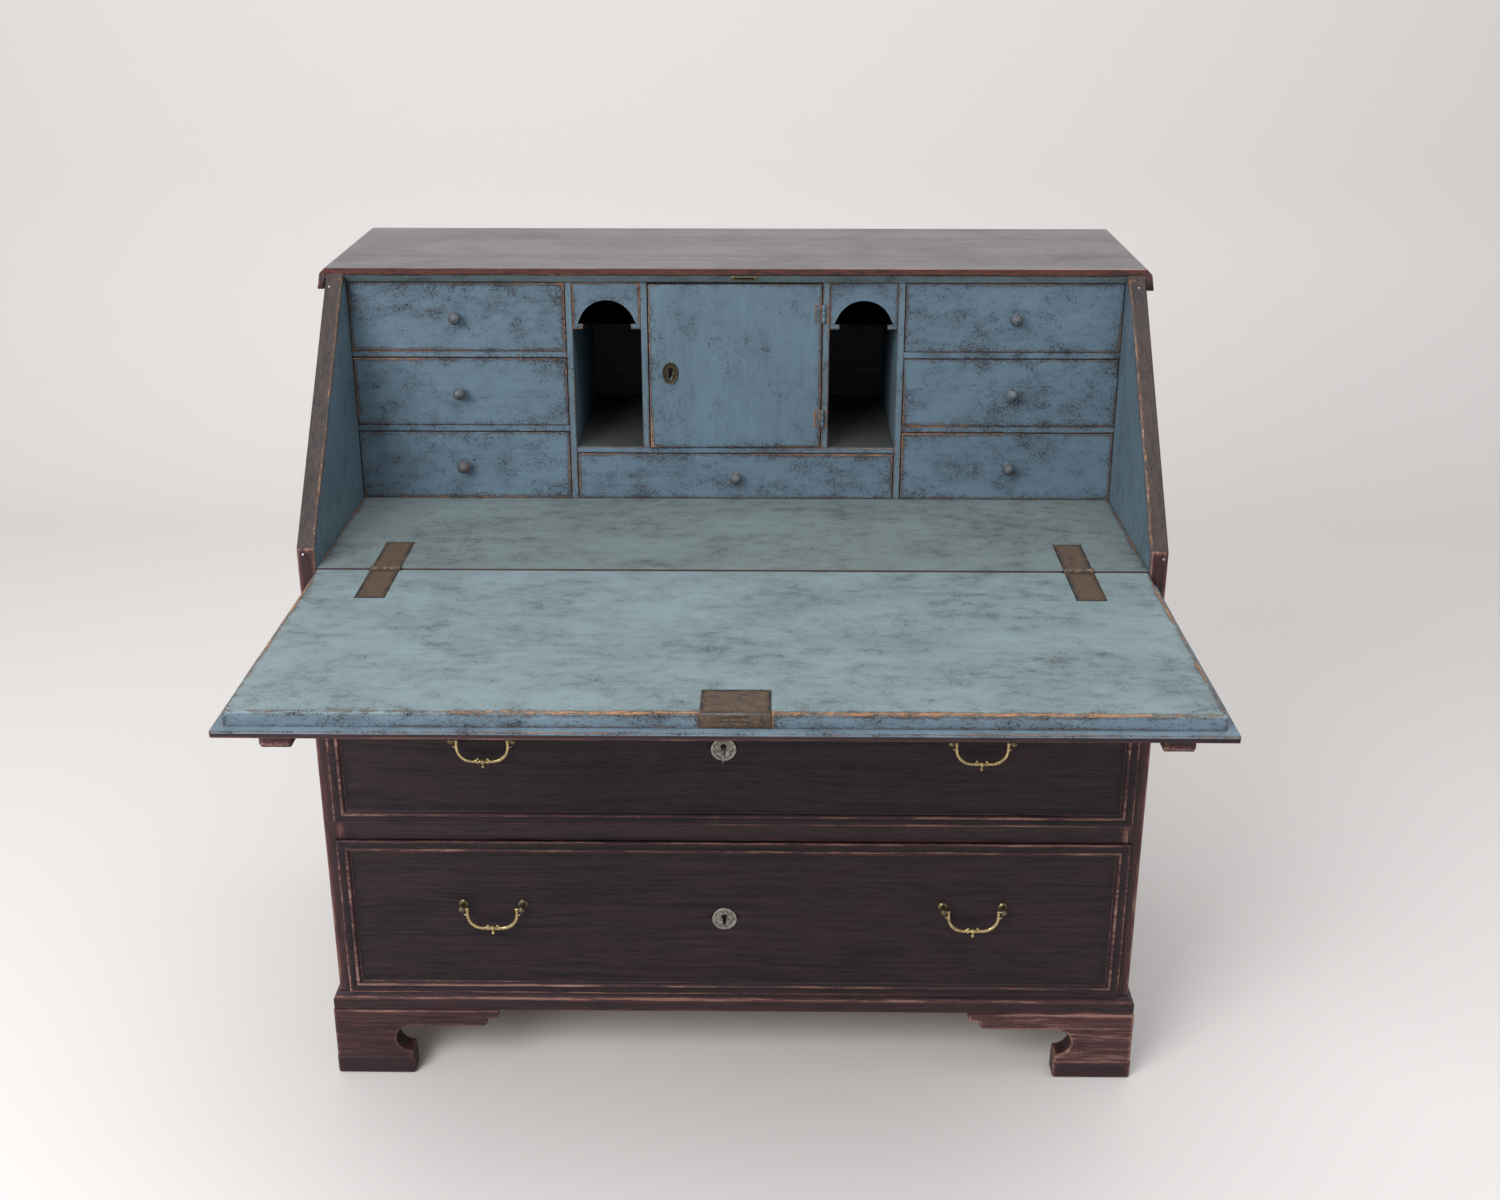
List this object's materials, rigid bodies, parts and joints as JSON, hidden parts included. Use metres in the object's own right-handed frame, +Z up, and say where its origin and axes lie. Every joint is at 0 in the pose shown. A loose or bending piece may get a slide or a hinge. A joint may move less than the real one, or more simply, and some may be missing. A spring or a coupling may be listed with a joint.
{
  "type": "secretary desk",
  "caption": "Slant-front writing bureau, fall open on lopers, with long drawers, a gallery of small drawers and pigeonholes, a door and bracket feet.",
  "frame": {"origin": "on the floor, below the middle of the bounding box with the fall open and the lopers out", "axes": "+X across the width, to the writer's right; +Y from the writer towards the back; +Z up"},
  "size_m": [1.105, 0.989, 1.073],
  "materials": {
    "case_wood": "old dark polish, worn to red-brown on the arrises",
    "top_wood": "faded dark polish with a grey sheen",
    "front_wood": "near-black old polish on the fields, red-brown on the mouldings",
    "lining_wood": "bare, aged",
    "painted_wood": "worn and crazed blue-green paint, bare at the edges",
    "fall_wood": "worn blue-green paint inside, dark polish outside",
    "knob_wood": "worn blue-green paint",
    "brass": "tarnished, rubbed bright where it is handled",
    "rusty_iron": "rusted dark brown",
    "silvered_brass": "dull silver-grey",
    "key_iron": "worn grey iron"
  },
  "bodies": {
    "carcase": {"side_left": "case_wood", "side_right": "case_wood", "top_board": "top_wood", "top_mouldings": "case_wood", "bottom_board": "lining_wood", "writing_board": "painted_wood", "drawer_rails": "case_wood", "drawer_runners": "lining_wood", "loper_guides": "lining_wood", "back_boards": "lining_wood", "plinth_moulding": "case_wood", "front_feet": "case_wood", "rear_feet": "case_wood", "gallery_partitions": "painted_wood", "gallery_shelves": "painted_wood", "valances": "painted_wood", "striker_plate": "brass", "fall_hinge_fixed_leaves": "rusty_iron", "door_hinge_fixed_leaves": "rusty_iron"},
    "fall": {"fall_board": "fall_wood", "fall_hinge_moving_leaves": "rusty_iron", "fall_lock": "rusty_iron"},
    "loper_left": {"loper_left": "case_wood"},
    "loper_right": {"loper_right": "case_wood"},
    "lower_drawer": {"lower_drawer_front": "front_wood", "lower_drawer_box": "lining_wood", "lower_drawer_lock": "silvered_brass", "lower_drawer_handle_posts": "brass"},
    "lower_bail_left": {"lower_bail_left": "brass"},
    "lower_bail_right": {"lower_bail_right": "brass"},
    "middle_drawer": {"middle_drawer_front": "front_wood", "middle_drawer_box": "lining_wood", "middle_drawer_lock": "silvered_brass", "middle_drawer_handle_posts": "brass"},
    "middle_bail_left": {"middle_bail_left": "brass"},
    "middle_bail_right": {"middle_bail_right": "brass"},
    "middle_bolt": {"middle_lock_bolt": "rusty_iron"},
    "key": {"key": "key_iron"},
    "top_drawer": {"top_drawer_front": "front_wood", "top_drawer_box": "lining_wood", "top_drawer_handle_posts": "brass"},
    "top_bail_left": {"top_bail_left": "brass"},
    "top_bail_right": {"top_bail_right": "brass"},
    "small_drawer_left_1": {"gallery_drawer_left_1": "painted_wood", "knob_left_1": "knob_wood"},
    "small_drawer_left_2": {"gallery_drawer_left_2": "painted_wood", "knob_left_2": "knob_wood"},
    "small_drawer_left_3": {"gallery_drawer_left_3": "painted_wood", "knob_left_3": "knob_wood"},
    "small_drawer_right_1": {"gallery_drawer_right_1": "painted_wood", "knob_right_1": "knob_wood"},
    "small_drawer_right_2": {"gallery_drawer_right_2": "painted_wood", "knob_right_2": "knob_wood"},
    "small_drawer_right_3": {"gallery_drawer_right_3": "painted_wood", "knob_right_3": "knob_wood"},
    "small_drawer_centre": {"gallery_drawer_centre": "painted_wood", "knob_centre": "knob_wood"},
    "door": {"door_panel": "painted_wood", "door_hinge_moving_leaves": "rusty_iron", "door_lock": "brass"}
  },
  "joints": [
    {"name": "fall_hinge", "type": "hinge", "parent": "carcase", "child": "fall", "pos_m": [0, -0.075, 0.75], "axis": [1, 0, 0], "range_deg": [-132.1, 0]},
    {"name": "loper_left_slide", "type": "slide", "parent": "carcase", "child": "loper_left", "axis": [0, -1, 0], "range_m": [-0.294, 0]},
    {"name": "loper_right_slide", "type": "slide", "parent": "carcase", "child": "loper_right", "axis": [0, -1, 0], "range_m": [-0.294, 0]},
    {"name": "lower_drawer_slide", "type": "slide", "parent": "carcase", "child": "lower_drawer", "axis": [0, -1, 0], "range_m": [0, 0.4]},
    {"name": "lower_bail_left_swing", "type": "hinge", "parent": "lower_drawer", "child": "lower_bail_left", "pos_m": [-0.321, -0.093, 0.271], "axis": [-1, 0, 0], "range_deg": [0, 95]},
    {"name": "lower_bail_right_swing", "type": "hinge", "parent": "lower_drawer", "child": "lower_bail_right", "pos_m": [0.321, -0.093, 0.271], "axis": [-1, 0, 0], "range_deg": [0, 95]},
    {"name": "middle_drawer_slide", "type": "slide", "parent": "carcase", "child": "middle_drawer", "axis": [0, -1, 0], "range_m": [0, 0.4]},
    {"name": "middle_bail_left_swing", "type": "hinge", "parent": "middle_drawer", "child": "middle_bail_left", "pos_m": [-0.321, -0.093, 0.521], "axis": [-1, 0, 0], "range_deg": [0, 95]},
    {"name": "middle_bail_right_swing", "type": "hinge", "parent": "middle_drawer", "child": "middle_bail_right", "pos_m": [0.321, -0.093, 0.521], "axis": [-1, 0, 0], "range_deg": [0, 95]},
    {"name": "top_drawer_slide", "type": "slide", "parent": "carcase", "child": "top_drawer", "axis": [0, -1, 0], "range_m": [0, 0.38]},
    {"name": "top_bail_left_swing", "type": "hinge", "parent": "top_drawer", "child": "top_bail_left", "pos_m": [-0.321, -0.093, 0.694], "axis": [-1, 0, 0], "range_deg": [0, 95]},
    {"name": "top_bail_right_swing", "type": "hinge", "parent": "top_drawer", "child": "top_bail_right", "pos_m": [0.321, -0.093, 0.694], "axis": [-1, 0, 0], "range_deg": [0, 95]},
    {"name": "key_turn", "type": "hinge", "parent": "middle_drawer", "child": "key", "pos_m": [-0.011, -0.093, 0.5075], "axis": [0, 1, 0], "range_deg": [0, 90]},
    {"name": "bolt_shoot", "type": "slide", "parent": "middle_drawer", "child": "middle_bolt", "axis": [0, 0, 1], "range_m": [0, 0.008]},
    {"name": "small_drawer_left_1_slide", "type": "slide", "parent": "carcase", "child": "small_drawer_left_1", "axis": [0, -1, 0], "range_m": [0, 0.2]},
    {"name": "small_drawer_left_2_slide", "type": "slide", "parent": "carcase", "child": "small_drawer_left_2", "axis": [0, -1, 0], "range_m": [0, 0.2]},
    {"name": "small_drawer_left_3_slide", "type": "slide", "parent": "carcase", "child": "small_drawer_left_3", "axis": [0, -1, 0], "range_m": [0, 0.2]},
    {"name": "small_drawer_right_1_slide", "type": "slide", "parent": "carcase", "child": "small_drawer_right_1", "axis": [0, -1, 0], "range_m": [0, 0.2]},
    {"name": "small_drawer_right_2_slide", "type": "slide", "parent": "carcase", "child": "small_drawer_right_2", "axis": [0, -1, 0], "range_m": [0, 0.2]},
    {"name": "small_drawer_right_3_slide", "type": "slide", "parent": "carcase", "child": "small_drawer_right_3", "axis": [0, -1, 0], "range_m": [0, 0.2]},
    {"name": "small_drawer_centre_slide", "type": "slide", "parent": "carcase", "child": "small_drawer_centre", "axis": [0, -1, 0], "range_m": [0, 0.2]},
    {"name": "door_hinge", "type": "hinge", "parent": "carcase", "child": "door", "pos_m": [0.1185, 0.1995, 0.924], "axis": [0, 0, 1], "range_deg": [-1.1, 95]}
  ],
  "couplings": [
    {"joint": "key_turn", "follows": "bolt_shoot", "rad_per_m": 196.3}
  ]
}
